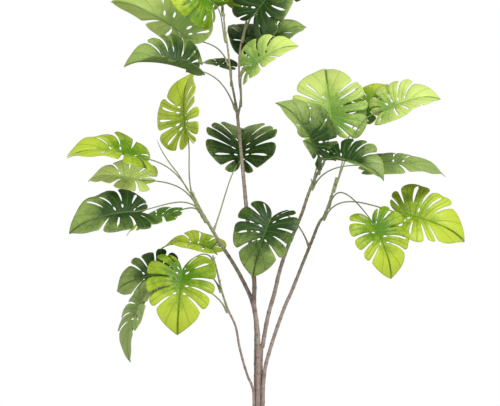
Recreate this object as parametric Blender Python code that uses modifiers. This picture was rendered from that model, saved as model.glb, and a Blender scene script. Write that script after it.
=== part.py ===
"""Potted monstera: five woody canes in a clay pot, with split leaves on long wiry stalks.

Metres, +Z up. The pot stands on z = 0 with its axis on Z, and the plant's front faces -Y.
"""

import math
import random

import bmesh
import bpy
from mathutils import Matrix, Vector
from mathutils.geometry import interpolate_bezier

GAP = 0.0003  # between pieces that touch

# The pot, turned from its outline.
POT_HEIGHT = 0.22
POT_RADIUS = 0.125
POT_BASE_RADIUS = 0.088
POT_WALL = 0.008
POT_FLOOR = 0.012
COLLAR_HEIGHT = 0.04  # the thick band round the mouth
COLLAR_STEP = 0.006
POT_EDGE = 0.003  # how much its foot and rim are eased
COLLAR_EDGE = 0.001
DRAIN_RADIUS = 0.006
DRAIN_COUNT = 4
DRAIN_RING = 0.055
SOIL_TOP = 0.195
SOIL_DOME = 0.004  # how much the soil rises in the middle
SOIL_SHOULDER = 0.055  # the radius where most of that rise is done
TURNED_STEPS = 36
HOLE_SIDES = 16
CUTTER_MARGIN = 0.02  # how far a cutter passes the face it cuts

# Each cane's route, from the bottom of its hole in the soil: x, y, z and radius at each bend.
CANES = {
    "main_cane": [
        (0.0, 0.0, 0.135, 0.0068),
        (0.0, 0.0, 0.335, 0.0065),
        (0.0, 0.0, 0.485, 0.006),
        (-0.010, 0.0, 0.575, 0.0058),
        (-0.010, 0.004, 0.64, 0.0055),
        (-0.0275, 0.018, 0.80, 0.005),
        (-0.0375, 0.016, 0.905, 0.0045),
        (-0.0475, 0.012, 1.005, 0.004),
        (-0.052, 0.006, 1.05, 0.0038),
        (-0.0575, 0.004, 1.085, 0.003),
        (-0.0675, 0.002, 1.14, 0.0027),
        (-0.075, 0.0, 1.21, 0.0024),
        (-0.0825, 0.0, 1.26, 0.0022),
        (-0.088, 0.0, 1.325, 0.0018),
    ],
    "left_cane": [
        (-0.005, 0.0125, 0.135, 0.0055),
        (-0.005, 0.0125, 0.40, 0.0053),
        (-0.005, 0.0135, 0.52, 0.005),
        (-0.0145, 0.014, 0.58, 0.005),
        (-0.0375, 0.010, 0.6325, 0.0048),
        (-0.0625, 0.002, 0.6775, 0.0045),
        (-0.085, -0.004, 0.7125, 0.0043),
        (-0.105, -0.010, 0.745, 0.004),
        (-0.1275, -0.016, 0.7825, 0.0038),
        (-0.1475, -0.022, 0.8175, 0.0035),
        (-0.165, -0.028, 0.855, 0.0028),
    ],
    "far_left_cane": [
        (-0.0105, -0.0035, 0.135, 0.0034),
        (-0.0105, -0.0035, 0.33, 0.0033),
        (-0.015, -0.006, 0.37, 0.0032),
        (-0.0275, -0.012, 0.40, 0.003),
        (-0.045, -0.022, 0.4625, 0.0029),
        (-0.056, -0.030, 0.52, 0.0028),
        (-0.075, -0.036, 0.5625, 0.0027),
        (-0.09, -0.040, 0.6075, 0.0025),
        (-0.1025, -0.044, 0.66, 0.0023),
        (-0.1125, -0.046, 0.6975, 0.002),
    ],
    "right_inner_cane": [
        (0.007, 0.0125, 0.135, 0.0055),
        (0.007, 0.0125, 0.43, 0.0053),
        (0.0125, 0.0125, 0.475, 0.0052),
        (0.025, 0.013, 0.545, 0.005),
        (0.04, 0.013, 0.5975, 0.005),
        (0.055, 0.012, 0.66, 0.0047),
        (0.0725, 0.004, 0.7125, 0.0045),
        (0.0925, -0.001, 0.76, 0.0043),
        (0.11, -0.003, 0.8025, 0.004),
        (0.125, -0.004, 0.8475, 0.0038),
        (0.1425, -0.009, 0.89, 0.0035),
        (0.165, -0.014, 0.93, 0.003),
        (0.17, -0.014, 0.965, 0.0026),
    ],
    "right_outer_cane": [
        (0.0125, -0.001, 0.135, 0.005),
        (0.0125, -0.001, 0.34, 0.0048),
        (0.0145, -0.001, 0.385, 0.0047),
        (0.02, 0.0, 0.425, 0.0046),
        (0.04, 0.010, 0.4925, 0.0045),
        (0.065, 0.022, 0.5625, 0.0044),
        (0.085, 0.030, 0.6075, 0.0043),
        (0.11, 0.038, 0.67, 0.004),
        (0.1325, 0.044, 0.725, 0.0038),
        (0.1525, 0.048, 0.775, 0.0036),
        (0.1675, 0.050, 0.7975, 0.0034),
        (0.1825, 0.052, 0.8375, 0.0032),
        (0.1975, 0.054, 0.8925, 0.0026),
    ],
}
# The main cane's second branch, which forks off near its top.
MAIN_BRANCH = [
    (-0.051, 0.0055, 1.04, 0.003),
    (-0.0425, 0.006, 1.09, 0.0028),
    (-0.047, 0.008, 1.14, 0.0026),
    (-0.045, 0.010, 1.21, 0.0024),
    (-0.03, 0.012, 1.28, 0.0022),
    (-0.018, 0.014, 1.32, 0.0018),
]
STEPS_PER_BEND = 2  # points read from the smooth curve between two bends

# Each leaf: the height at which its stalk leaves the cane, where the stalk meets the blade, the
# blade's tip, the way its upper face looks, how far its halves fold up, how many slits each
# half has, and its colour.
LEAVES = {
    "main_cane": [
        (1.175, (-0.18, 0.085, 1.245), (-0.365, 0.125, 1.345), (-0.2, 0.6, 0.75), 0.7, 5, "pale"),
        (1.065, (-0.18, -0.10, 1.16), (-0.33, -0.13, 1.172), (0.0, -0.42, 0.9), 0.9, 6, "dark"),
        (1.235, (-0.12, -0.05, 1.33), (-0.24, -0.07, 1.42), (-0.3, -0.75, 0.5), 0.5, 5, "bright"),
        (1.125, (-0.08, 0.07, 1.17), (-0.15, 0.10, 1.18), (0.0, -0.25, 0.95), 0.5, 3, "dark"),
        (1.30, (-0.095, 0.005, 1.36), (-0.145, 0.045, 1.495), (-0.3, -0.8, 0.4), 0.45, 4, "bright"),
    ],
    "main_branch": [
        (1.075, (-0.015, -0.115, 1.165), (0.095, -0.145, 1.22), (-0.3, -0.6, 0.7), 0.55, 4, "pale"),
        (1.15, (0.01, 0.008, 1.23), (0.12, 0.03, 1.275), (0.1, -0.5, 0.85), 0.45, 5, "dark"),
        (1.195, (-0.02, 0.09, 1.22), (-0.055, 0.16, 1.285), (0.2, -0.6, 0.7), 0.6, 3, "dark"),
        (1.235, (-0.005, -0.04, 1.30), (0.105, -0.065, 1.42), (-0.3, -0.85, 0.4), 0.45, 5, "dark"),
        (1.27, (0.055, 0.03, 1.37), (0.155, 0.08, 1.455), (0.1, -0.7, 0.6), 0.5, 4, "dark"),
        (1.305, (-0.02, 0.08, 1.355), (-0.04, 0.13, 1.485), (0.1, -0.8, 0.4), 0.5, 4, "bright"),
    ],
    "left_cane": [
        (0.725, (-0.125, 0.04, 0.713), (-0.245, 0.08, 0.718), (0.0, -0.3, 0.95), 0.55, 4, "bright"),
        (0.76, (-0.0425, 0.05, 0.935), (-0.0375, 0.19, 1.025), (0.0, -0.5, 0.87), 0.85, 5, "dark"),
        (0.785, (-0.305, -0.15, 0.805), (-0.465, -0.19, 0.76), (-0.2, -0.6, 0.75), 0.45, 5, "dark"),
        (0.795, (-0.23, 0.04, 0.797), (-0.335, 0.08, 0.75), (-0.4, -0.2, 0.9), 0.3, 4, "bright"),
        (0.81, (-0.30, 0.06, 0.885), (-0.43, 0.10, 0.89), (0.0, -0.5, 0.85), 0.5, 4, "pale"),
        (0.82, (-0.305, -0.10, 0.94), (-0.47, -0.14, 0.95), (0.05, -0.4, 0.9), 0.5, 4, "bright"),
        (0.845, (-0.18, 0.0, 1.01), (-0.17, 0.05, 1.16), (-0.8, -0.55, 0.3), 0.6, 6, "bright"),
    ],
    "far_left_cane": [
        (0.56, (-0.275, -0.06, 0.5925), (-0.325, -0.08, 0.435), (-0.95, -0.3, 0.1), 0.5, 5, "dark"),
        (0.61, (-0.235, 0.062, 0.65), (-0.36, 0.095, 0.61), (-0.1, -0.75, 0.65), 0.5, 5, "dark"),
        (0.68, (-0.1875, -0.13, 0.66), (-0.20, -0.17, 0.505), (-0.05, -0.95, 0.25), 0.4, 5, "bright"),
    ],
    "right_inner_cane": [
        (0.865, (0.30, -0.02, 0.92), (0.47, 0.0, 0.905), (0.1, -0.28, 0.95), 0.35, 4, "dark"),
        (0.885, (0.145, -0.085, 0.96), (0.05, -0.105, 1.08), (0.65, -0.6, 0.5), 0.7, 4, "dark"),
        (0.905, (0.195, -0.135, 0.935), (0.31, -0.18, 0.89), (0.4, -0.55, 0.7), 0.8, 5, "dark"),
        (0.94, (0.185, 0.07, 1.03), (0.17, 0.17, 1.175), (-0.05, -0.8, 0.6), 0.45, 6, "pale"),
    ],
    "right_outer_cane": [
        (0.72, (0.03, -0.055, 0.785), (-0.015, -0.075, 0.645), (-0.25, -0.9, 0.2), 0.42, 5, "dark"),
        (0.79, (0.3625, -0.02, 0.80), (0.5175, -0.03, 0.7375), (0.1, -0.75, 0.65), 0.5, 6, "bright"),
        (0.82, (0.287, -0.12, 0.775), (0.332, -0.135, 0.642), (0.4, -0.88, 0.2), 0.42, 5, "bright"),
        (0.86, (0.2725, 0.13, 1.055), (0.325, 0.19, 1.135), (-0.4, -0.6, 0.6), 0.6, 5, "bright"),
        (0.88, (0.32, 0.0, 1.06), (0.455, 0.0, 1.095), (0.0, -0.6, 0.8), 0.6, 5, "pale"),
    ],
}
STALK_RADIUS = 0.0021  # where the stalk leaves the cane
NECK_RADIUS = 0.0016  # where it meets the blade
MIDRIB_TIP_RADIUS = 0.0008
MIDRIB_LENGTH = 0.35  # as a share of the blade's
STALK_STEPS = 6
MIDRIB_STEPS = 2
MIDRIB_DROP = 0.0008  # how far the midrib hangs below the middle of the blade
STALK_REACH = 0.4  # the length of the arc's handles, as a share of the way from cane to blade
STALK_LEAN = 0.5  # how far out it leans as it leaves the cane, against 1 up
STALK_SWING = 0.7  # and how much it still heads outward as it meets the blade

# The blade's shape, with the distance from the stalk to the tip as 1.
BLADE_THICKNESS = 0.0012
BLADE_OUTLINE = (  # one half: two Bezier curves that meet at the widest point
    (Vector((0.015, -0.02)), Vector((0.05, -0.36)), Vector((0.50, -0.40)), Vector((0.54, 0.06))),
    (Vector((0.54, 0.06)), Vector((0.58, 0.50)), Vector((0.30, 0.84)), Vector((0.0, 1.0))),
)
OUTLINE_SPLIT = 0.42  # where along the outline they meet
VEIN_ROOTS = 0.55  # how far up the midrib the last side vein starts
VEIN_SWEEP = 0.16
FIRST_SLIT = 0.20
LAST_SLIT = 0.72
SLIT_START = 0.32  # how far out from the midrib a slit begins, as a share of the way
SLIT_WIDTH = 0.030
SLIT_FLARE = 0.6  # the power by which a slit widens towards the edge
LOBE_ROUNDING = 0.07
ARCH = 0.07
CUP = 0.35
LOBE_DROOP = 0.15
DROOP_RANGE = (0.4, 1.6)  # how much a lobe's droop may vary
VEIN_SHIFT = 0.15  # how far a slit's outer end may wander, as a share of the space between slits
START_SHIFT = 0.07

# The new shoot at the head of the left cane: a rolled leaf that hasn't opened.
SHOOT = [
    (-0.1745, -0.0265, 0.858, 0.0016),
    (-0.1975, -0.02, 0.8975, 0.0016),
    (-0.2225, -0.01, 0.93, 0.0015),
    (-0.2425, 0.0, 0.962, 0.0012),
    (-0.2525, 0.006, 0.985, 0.0005),
]

COLOURS = {
    "clay": ((0.50, 0.22, 0.12), 0.8),
    "soil": ((0.035, 0.022, 0.014), 1.0),
    "bark": ((0.25, 0.20, 0.155), 0.8),
    "leaf_dark": ((0.03, 0.07, 0.015), 0.4),
    "leaf_bright": ((0.25, 0.36, 0.02), 0.4),
    "leaf_pale": ((0.29, 0.43, 0.085), 0.45),
}


def material(name):
    """The Principled material for a slot, made once."""
    made = bpy.data.materials.get(name) or bpy.data.materials.new(name)
    made.use_nodes = True
    colour, roughness = COLOURS[name]
    shader = made.node_tree.nodes["Principled BSDF"]
    shader.inputs["Base Color"].default_value = (*colour, 1.0)
    shader.inputs["Roughness"].default_value = roughness
    shader.inputs["Metallic"].default_value = 0.0
    made.diffuse_color = (*colour, 1.0)
    return made


def add(name, data, collection, slot=None):
    """A new object that holds data, with its material."""
    thing = bpy.data.objects.new(name, data)
    collection.objects.link(thing)
    if slot:
        data.materials.clear()
        data.materials.append(material(slot))
    return thing


def evaluated_mesh(thing):
    """A mesh of the object with its modifiers applied, closed where a curve's caps meet its sides."""
    bpy.context.view_layer.update()
    graph = bpy.context.evaluated_depsgraph_get()
    mesh = bpy.data.meshes.new_from_object(thing.evaluated_get(graph))
    shape = bmesh.new()
    shape.from_mesh(mesh)
    bmesh.ops.remove_doubles(shape, verts=shape.verts, dist=1e-6)
    bmesh.ops.recalc_face_normals(shape, faces=shape.faces)
    shape.to_mesh(mesh)
    shape.free()
    return mesh


def boolean(thing, operation, other):
    """Adds an exact Boolean with another object, which stays out of the build."""
    modifier = thing.modifiers.new(other.name, "BOOLEAN")
    modifier.operation = operation
    modifier.solver = "EXACT"
    modifier.use_self = operation == "UNION"
    modifier.object = other
    other.hide_render = True
    other.display_type = "WIRE"


def turned(name, outline, collection, slot=None):
    """A closed outline of (radius, height) points turned round Z."""
    shape = bmesh.new()
    points = [shape.verts.new((radius, 0.0, height)) for radius, height in outline]
    for near, far in zip(points, points[1:]):
        shape.edges.new((near, far))
    mesh = bpy.data.meshes.new(name)
    shape.to_mesh(mesh)
    shape.free()
    thing = add(name, mesh, collection, slot)
    screw = thing.modifiers.new("turn", "SCREW")
    screw.steps = TURNED_STEPS
    screw.render_steps = TURNED_STEPS
    screw.use_merge_vertices = True
    screw.merge_threshold = 1e-5
    screw.use_normal_flip = True
    return thing


def cylinder(name, radius, low, high, centre, collection):
    """An upright cylinder whose flat sides clear a circle of this radius."""
    shape = bmesh.new()
    outer = radius / math.cos(math.pi / HOLE_SIDES)
    place = Matrix.Translation((*centre, (low + high) / 2))
    bmesh.ops.create_cone(
        shape,
        cap_ends=True,
        segments=HOLE_SIDES,
        radius1=outer,
        radius2=outer,
        depth=high - low,
        matrix=place,
    )
    mesh = bpy.data.meshes.new(name)
    shape.to_mesh(mesh)
    shape.free()
    return add(name, mesh, collection)


def smooth(bends, steps):
    """Points on a Catmull-Rom curve through the bends, each as (point, radius)."""
    knots = [Vector(bend) for bend in bends]
    ends = [2 * knots[0] - knots[1], *knots, 2 * knots[-1] - knots[-2]]
    found = []
    for before, start, end, after in zip(ends, ends[1:], ends[2:], ends[3:]):
        for step in range(steps):
            t = step / steps
            found.append(
                0.5
                * (
                    2 * start
                    + (end - before) * t
                    + (2 * before - 5 * start + 4 * end - after) * t**2
                    + (3 * start - before - 3 * end + after) * t**3
                )
            )
    found.append(knots[-1])
    return [(point.xyz, point.w) for point in found]


def tube(name, route, resolution, collection, slot=None):
    """A capped round tube along (point, radius) pairs, as a curve object."""
    curve = bpy.data.curves.new(name, "CURVE")
    curve.dimensions = "3D"
    curve.bevel_depth = 1.0
    curve.bevel_resolution = resolution
    curve.use_fill_caps = True
    line = curve.splines.new("POLY")
    line.points.add(len(route) - 1)
    for spot, (point, radius) in zip(line.points, route):
        spot.co = (*point, 1.0)
        spot.radius = radius
    return add(name, curve, collection, slot)


def tube_mesh(name, route, resolution, collection, slot=None):
    """The same tube as a mesh object, which a Boolean can take."""
    curve = tube(name + "_curve", route, resolution, collection, slot)
    mesh = evaluated_mesh(curve)
    place = curve.matrix_world.copy()
    bpy.data.objects.remove(curve)
    thing = add(name, mesh, collection, slot)
    thing.matrix_world = place
    return thing


def on_route(route, height):
    """The point and radius of an upright route at this height."""
    for (low, thick), (high, thin) in zip(route, route[1:]):
        if low.z <= height <= high.z:
            share = (height - low.z) / (high.z - low.z)
            return low.lerp(high, share), thick + (thin - thick) * share
    return route[-1]


def outline_point(u):
    """A point on the blade's edge, from the notch behind the stalk (0) to the tip (1)."""
    lower, upper = BLADE_OUTLINE
    if u < OUTLINE_SPLIT:
        curve, t = lower, u / OUTLINE_SPLIT
    else:
        curve, t = upper, (u - OUTLINE_SPLIT) / (1 - OUTLINE_SPLIT)
    a, b, c, d = curve
    s = 1 - t
    return s**3 * a + 3 * s * s * t * b + 3 * s * t * t * c + t**3 * d


def blade_height(x, y, fold):
    """How far the blade stands off the flat at (x, y): arched along the midrib, folded and cupped."""
    return ARCH * 4 * y * (1 - y) + fold * abs(x) - CUP * x * x


def blade_point(root, edge, r, past_slit, fold, droop):
    """A point of the right half, a share r of the way along the vein from root to edge."""
    flat = Vector((0.0, VEIN_ROOTS * root**1.5)).lerp(outline_point(edge), r)
    flat.y -= VEIN_SWEEP * math.sin(math.pi * edge) * r * (1 - r)
    height = blade_height(*flat, fold) - droop * past_slit**2
    return Vector((flat.x, flat.y, height))


def slit_places(slits, chance):
    """(root, edge, start) for each slit of one half, and for the half's two ends."""
    gap = (LAST_SLIT - FIRST_SLIT) / (slits - 1)
    places = [(0.0, 0.0, SLIT_START)]
    for i in range(slits):
        root = FIRST_SLIT + gap * i
        edge = root + chance.uniform(-VEIN_SHIFT, VEIN_SHIFT) * gap
        places.append((root, edge, SLIT_START + chance.uniform(-START_SHIFT, START_SHIFT)))
    return [*places, (1.0, 1.0, SLIT_START)]


def half_blade(shape, side, fold, slits, chance):
    """Adds one half of a blade: a grid for each lobe, bent to the leaf's shape."""
    places = slit_places(slits, chance)
    for index, (near, far) in enumerate(zip(places, places[1:])):
        last = index == slits
        droop = LOBE_DROOP * (1.0 if last else chance.uniform(*DROOP_RANGE))
        made = bmesh.ops.create_grid(shape, x_segments=2, y_segments=2, size=0.5)
        for vertex in made["verts"]:
            across, out = vertex.co.x + 0.5, vertex.co.y + 0.5
            root, edge, start = (a + (b - a) * across for a, b in zip(near, far))
            opened = max(0.0, 2 * out - 1)
            r = 2 * out * start if out <= 0.5 else start + (1 - start) * opened
            half_gap = SLIT_WIDTH / 2 * opened**SLIT_FLARE
            if index:
                edge += half_gap * (1 - across)
            if not last:
                edge -= half_gap * across
            corner = max(0.0, 1 - 2 * across) if last else abs(2 * across - 1)
            r *= 1 - LOBE_ROUNDING * corner**3 * opened
            point = blade_point(root, edge, r, (1 - start) * opened, fold, droop)
            vertex.co = (side * point.x, point.y, point.z)


def blade(name, fold, slits, length, place, chance, collection, slot):
    """The split blade as a thin shell: both halves joined at the midrib."""
    shape = bmesh.new()
    for side in (-1, 1):
        half_blade(shape, side, fold, slits, chance)
    bmesh.ops.remove_doubles(shape, verts=shape.verts, dist=1e-5)
    bmesh.ops.recalc_face_normals(shape, faces=shape.faces)
    bmesh.ops.scale(shape, verts=shape.verts, vec=(length, length, length))
    mesh = bpy.data.meshes.new(name)
    shape.to_mesh(mesh)
    shape.free()
    thing = add(name, mesh, collection, slot)
    thing.matrix_world = place
    shell = thing.modifiers.new("thickness", "SOLIDIFY")
    shell.thickness = BLADE_THICKNESS
    shell.offset = 0.0
    return thing


def facing(base, tip, face):
    """The matrix that lays a blade from base to tip, with its upper side towards face."""
    along = (tip - base).normalized()
    up = (face - face.dot(along) * along).normalized()
    across = along.cross(up)
    return Matrix.Translation(base) @ Matrix((across, along, up)).transposed().to_4x4()


def stalk_route(start, outward, place, length):
    """The stalk's arc from the cane to the blade, then the midrib under the blade."""
    base = place.translation
    along = place.col[1].xyz
    reach = (base - start).length * STALK_REACH
    leave = (outward * STALK_LEAN + Vector((0, 0, 1))).normalized()
    arrive = (outward * STALK_SWING + along).normalized()
    arc = interpolate_bezier(
        start, start + leave * reach, base - arrive * reach, base, STALK_STEPS + 1
    )
    route = [
        (point, STALK_RADIUS + (NECK_RADIUS - STALK_RADIUS) * i / STALK_STEPS)
        for i, point in enumerate(arc)
    ]
    for i in range(1, MIDRIB_STEPS + 1):
        share = i / MIDRIB_STEPS
        y = MIDRIB_LENGTH * share
        local = Vector((0.0, y, blade_height(0.0, y, 0.0))) * length
        local.z -= MIDRIB_DROP
        route.append((place @ local, NECK_RADIUS + (MIDRIB_TIP_RADIUS - NECK_RADIUS) * share))
    return route


def leaf(name, cane_route, row, plant, helpers):
    """One leaf: its stalk and midrib, joined to the split blade."""
    chance = random.Random(name)
    height, base, tip, face, fold, slits, colour = row
    slot = "leaf_" + colour
    base, tip, face = Vector(base), Vector(tip), Vector(face)
    place = facing(base, tip, face)
    length = (tip - base).length
    middle, radius = on_route(cane_route, height)
    outward = Vector((base.x - middle.x, base.y - middle.y, 0.0)).normalized()
    start = middle + outward * (radius + STALK_RADIUS + 2 * GAP)
    body = tube_mesh(name, stalk_route(start, outward, place, length), 1, plant, slot)
    plate = blade(name + "_blade", fold, slits, length, place, chance, helpers, slot)
    boolean(body, "UNION", plate)


def pot(plant, cutters):
    """The clay pot: a tapered shell with a collar round its mouth and drain holes in its floor."""
    slope = (POT_RADIUS - COLLAR_STEP - POT_BASE_RADIUS) / (POT_HEIGHT - COLLAR_HEIGHT)
    neck = POT_RADIUS - COLLAR_STEP
    mouth = POT_RADIUS - COLLAR_STEP - POT_WALL
    floor = POT_BASE_RADIUS - POT_WALL + slope * POT_FLOOR
    thing = turned(
        "pot",
        [
            (0.0, 0.0),
            (POT_BASE_RADIUS - POT_EDGE, 0.0),
            (POT_BASE_RADIUS, POT_EDGE),
            (neck, POT_HEIGHT - COLLAR_HEIGHT),
            (POT_RADIUS - COLLAR_EDGE, POT_HEIGHT - COLLAR_HEIGHT + 2 * COLLAR_EDGE),
            (POT_RADIUS, POT_HEIGHT - POT_EDGE),
            (POT_RADIUS - POT_EDGE, POT_HEIGHT),
            (mouth + POT_EDGE, POT_HEIGHT),
            (mouth, POT_HEIGHT - POT_EDGE),
            (floor, POT_FLOOR),
            (0.0, POT_FLOOR),
        ],
        plant,
        "clay",
    )
    for i in range(DRAIN_COUNT):
        angle = 2 * math.pi * (i + 0.5) / DRAIN_COUNT
        centre = (DRAIN_RING * math.cos(angle), DRAIN_RING * math.sin(angle))
        top = POT_FLOOR + CUTTER_MARGIN
        hole = cylinder(f"drain_{i + 1}", DRAIN_RADIUS, -CUTTER_MARGIN, top, centre, cutters)
        boolean(thing, "DIFFERENCE", hole)
    return mouth, floor


def soil(mouth, floor, routes, plant, cutters):
    """The soil: it fills the pot to below the rim, with a hole for each cane."""
    low = POT_FLOOR + GAP
    lean = (mouth - floor) / (POT_HEIGHT - POT_EDGE - POT_FLOOR)
    thing = turned(
        "soil",
        [
            (0.0, low),
            (floor - 2 * GAP, low),
            (floor + lean * (SOIL_TOP - POT_FLOOR) - 2 * GAP, SOIL_TOP),
            (SOIL_SHOULDER, SOIL_TOP + SOIL_DOME * 0.7),
            (0.0, SOIL_TOP + SOIL_DOME),
        ],
        plant,
        "soil",
    )
    for name, route in routes.items():
        (foot, radius), top = route[0], SOIL_TOP + CUTTER_MARGIN
        hole = cylinder(name + "_hole", radius + GAP, foot.z - GAP, top, foot.xy, cutters)
        boolean(thing, "DIFFERENCE", hole)


def main():
    for old in list(bpy.data.objects):
        bpy.data.objects.remove(old)
    plant = bpy.data.collections.new("potted_monstera")
    cutters = bpy.data.collections.new("cutters")
    helpers = bpy.data.collections.new("joined_shapes")
    for collection in (plant, cutters, helpers):
        bpy.context.scene.collection.children.link(collection)

    routes = {name: smooth(bends, STEPS_PER_BEND) for name, bends in CANES.items()}
    mouth, floor = pot(plant, cutters)
    soil(mouth, floor, routes, plant, cutters)

    branch_route = smooth(MAIN_BRANCH, STEPS_PER_BEND)
    for name, route in routes.items():
        if name != "main_cane":
            tube(name, route, 2, plant, "bark")
    main_cane = tube_mesh("main_cane", routes["main_cane"], 2, plant, "bark")
    boolean(main_cane, "UNION", tube_mesh("main_branch", branch_route, 1, helpers, "bark"))

    routes["main_branch"] = branch_route
    for cane, rows in LEAVES.items():
        for number, row in enumerate(rows, 1):
            leaf(f"{cane}_leaf_{number}", routes[cane], row, plant, helpers)
    tube("new_shoot", smooth(SHOOT, STEPS_PER_BEND), 1, plant, "leaf_bright")


main()
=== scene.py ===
"""Potted monstera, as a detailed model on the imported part: metres, +Z up, its front towards -Y."""

import math
import random

import bmesh
import bpy
from mathutils import Matrix, Vector, noise
from mathutils.geometry import interpolate_bezier


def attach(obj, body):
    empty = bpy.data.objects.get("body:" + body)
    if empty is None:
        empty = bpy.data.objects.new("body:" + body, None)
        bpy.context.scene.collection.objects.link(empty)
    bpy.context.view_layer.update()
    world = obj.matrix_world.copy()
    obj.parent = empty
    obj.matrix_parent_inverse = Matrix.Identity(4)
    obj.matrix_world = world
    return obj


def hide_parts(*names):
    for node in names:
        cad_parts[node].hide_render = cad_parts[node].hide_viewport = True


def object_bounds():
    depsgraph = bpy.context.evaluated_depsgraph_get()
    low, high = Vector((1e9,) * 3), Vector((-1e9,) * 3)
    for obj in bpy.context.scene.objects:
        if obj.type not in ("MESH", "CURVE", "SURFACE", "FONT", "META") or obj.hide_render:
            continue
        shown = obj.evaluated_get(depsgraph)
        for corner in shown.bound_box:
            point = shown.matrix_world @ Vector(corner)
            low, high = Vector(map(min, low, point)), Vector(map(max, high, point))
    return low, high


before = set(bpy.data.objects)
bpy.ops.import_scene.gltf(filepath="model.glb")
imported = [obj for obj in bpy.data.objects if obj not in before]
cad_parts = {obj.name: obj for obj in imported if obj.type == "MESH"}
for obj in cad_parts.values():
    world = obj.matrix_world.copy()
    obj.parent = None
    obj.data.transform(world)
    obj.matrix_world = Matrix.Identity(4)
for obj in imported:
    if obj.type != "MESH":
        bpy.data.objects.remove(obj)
cad_low, cad_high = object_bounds()


# ---- The pot ----
# An unglazed terracotta flower pot, turned on a wheel and fired. It stands on its flat base,
# which has four drain holes, and a thick collar stiffens its mouth.

def add_node(tree, kind, inputs=(), **settings):
    """A shader node, with its inputs set to plain values or linked to other nodes' sockets."""
    made = tree.nodes.new("ShaderNode" + kind)
    for key, value in settings.items():
        setattr(made, key, value)
    for key, value in dict(inputs).items():
        if isinstance(value, bpy.types.NodeSocket):
            tree.links.new(value, made.inputs[key])
        else:
            made.inputs[key].default_value = value
    return made


def grain(tree, scale, detail=4.0, roughness=0.6, stretch=(1.0, 1.0, 1.0), warp=0.0):
    """Noise over the object's own space, in cycles to the metre; stretch is per axis."""
    space = add_node(tree, "TexCoord").outputs["Object"]
    scaled = add_node(tree, "Mapping", {"Vector": space, "Scale": stretch}).outputs["Vector"]
    wanted = {"Vector": scaled, "Scale": scale, "Detail": detail, "Roughness": roughness,
              "Distortion": warp}
    return add_node(tree, "TexNoise", wanted).outputs["Fac"]


def remap(tree, value, low, high, new_low=0.0, new_high=1.0):
    """A value eased from the range low..high to the range new_low..new_high."""
    wanted = {"Value": value, "From Min": low, "From Max": high, "To Min": new_low,
              "To Max": new_high}
    return add_node(tree, "MapRange", wanted, interpolation_type="SMOOTHSTEP").outputs["Result"]


def maths(tree, operation, first, second=0.0):
    return add_node(tree, "Math", {0: first, 1: second}, operation=operation).outputs["Value"]


def blend(tree, share, first, second, kind="MIX"):
    """Two colours mixed; a colour is a linear (r, g, b) or a socket."""
    pair = [c if isinstance(c, bpy.types.NodeSocket) else (*c, 1.0) for c in (first, second)]
    mixed = add_node(tree, "Mix", {0: share, 6: pair[0], 7: pair[1]}, data_type="RGBA",
                     blend_type=kind)
    return mixed.outputs[2]


def stored(tree, name):
    """A number stored on the mesh."""
    return add_node(tree, "Attribute", attribute_name=name).outputs["Fac"]


def dress(tree, colour, roughness, height, depth, **constants):
    """Links colour, roughness and relief (height 0..1 over this depth) to the shader."""
    shader = tree.nodes["Principled BSDF"]
    tree.links.new(colour, shader.inputs["Base Color"])
    tree.links.new(roughness, shader.inputs["Roughness"])
    relief = add_node(tree, "Bump", {"Height": height, "Distance": depth, "Strength": 1.0})
    tree.links.new(relief.outputs["Normal"], shader.inputs["Normal"])
    for name, value in constants.items():
        shader.inputs[name.replace("_", " ")].default_value = value


def new_material(name):
    made = bpy.data.materials.new(name)
    made.use_nodes = True
    return made, made.node_tree


def skin(shape, rings):
    """Skins rings of vertices one after another and caps both ends."""
    for near, far in zip(rings, rings[1:]):
        for i, vertex in enumerate(near):
            j = (i + 1) % len(near)
            shape.faces.new((vertex, near[j], far[j], far[i]))
    shape.faces.new(rings[0][::-1])
    shape.faces.new(rings[-1])


def piece(name, shape, materials, nodes=()):
    """Makes the shape a smooth piece of the plant, standing for these CAD nodes."""
    mesh = bpy.data.meshes.new(name)
    shape.to_mesh(mesh)
    shape.free()
    mesh.shade_smooth()
    for material in materials:
        mesh.materials.append(material)
    thing = bpy.data.objects.new(name, mesh)
    bpy.context.scene.collection.objects.link(thing)
    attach(thing, "root")
    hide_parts(*nodes)
    return thing


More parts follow.
